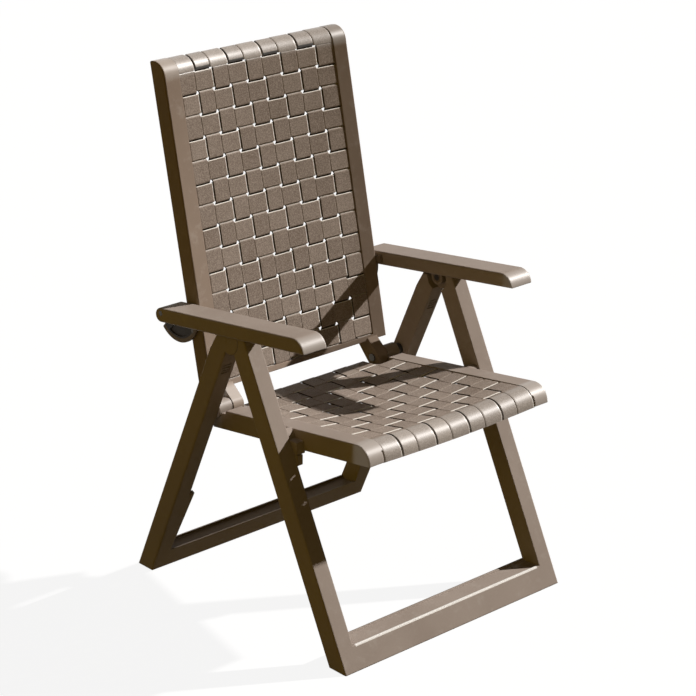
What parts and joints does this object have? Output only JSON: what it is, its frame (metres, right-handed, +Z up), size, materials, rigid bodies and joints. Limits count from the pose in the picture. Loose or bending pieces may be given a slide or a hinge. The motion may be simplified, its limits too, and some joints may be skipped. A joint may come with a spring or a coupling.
{
  "type": "reclining garden armchair",
  "caption": "High-backed folding garden armchair with woven-look seat and back, scissor legs and reclining back held by notched sectors under the armrests.",
  "frame": {"origin": "on the floor, under the middle of the chair", "axes": "+Z up, the chair faces -Y, +X towards the sitter's left"},
  "size_m": [0.6006, 0.6272, 1.0412],
  "materials": {
    "frame_plastic": "moulded taupe plastic, satin",
    "woven_plastic": "moulded taupe plastic with a fine strap grain",
    "pin_steel": "plain steel",
    "bush_plastic": "dark plastic"
  },
  "bodies": {
    "rear_legs": {"rear_frame": "frame_plastic", "knuckle_pin_left": "pin_steel", "knuckle_pin_right": "pin_steel"},
    "front_legs": {"front_frame": "frame_plastic", "seat_pivot_pin_left": "pin_steel", "seat_pivot_pin_right": "pin_steel"},
    "seat": {"seat_frame": "frame_plastic", "seat_straps_long": "woven_plastic", "seat_straps_across": "woven_plastic", "seat_nose_wraps": "woven_plastic"},
    "hinge_pins": {"back_hinge_pin_left": "pin_steel", "back_hinge_pin_right": "pin_steel"},
    "backrest": {"back_frame": "frame_plastic", "back_straps_up": "woven_plastic", "back_straps_across": "woven_plastic", "back_roll_wraps": "woven_plastic", "latch_sector_left": "bush_plastic", "latch_sector_right": "bush_plastic", "sector_screws": "pin_steel"},
    "arm_left": {"armrest_left": "frame_plastic", "armrest_bush_left": "bush_plastic", "latch_pin_left": "pin_steel"},
    "arm_right": {"armrest_right": "frame_plastic", "armrest_bush_right": "bush_plastic", "latch_pin_right": "pin_steel"}
  },
  "joints": [
    {"name": "fold", "type": "hinge", "parent": "rear_legs", "child": "front_legs", "pos_m": [0, 0.019, 0.57], "axis": [1, 0, 0], "range_deg": [0, 48]},
    {"name": "seat_tilt", "type": "hinge", "parent": "front_legs", "child": "seat", "pos_m": [0, -0.095, 0.402], "axis": [1, 0, 0], "range_deg": [-96, 0]},
    {"name": "hinge_carry", "type": "hinge", "parent": "seat", "child": "hinge_pins", "pos_m": [0, 0.124, 0.386], "axis": [1, 0, 0], "range_deg": [0, 81]},
    {"name": "recline", "type": "hinge", "parent": "hinge_pins", "child": "backrest", "pos_m": [0, 0.124, 0.386], "axis": [-1, 0, 0], "range_deg": [-11, 11]},
    {"name": "arm_left_turn", "type": "hinge", "parent": "rear_legs", "child": "arm_left", "pos_m": [0, 0.019, 0.57], "axis": [1, 0, 0], "range_deg": [-49, 0]},
    {"name": "arm_right_turn", "type": "hinge", "parent": "rear_legs", "child": "arm_right", "pos_m": [0, 0.019, 0.57], "axis": [1, 0, 0], "range_deg": [-49, 0]}
  ],
  "couplings": [
    {"joint": "seat_tilt", "follows": "fold", "ratio": -1.985},
    {"joint": "hinge_carry", "follows": "fold", "ratio": 1.675},
    {"joint": "arm_left_turn", "follows": "fold", "ratio": -1},
    {"joint": "arm_right_turn", "follows": "fold", "ratio": -1}
  ]
}
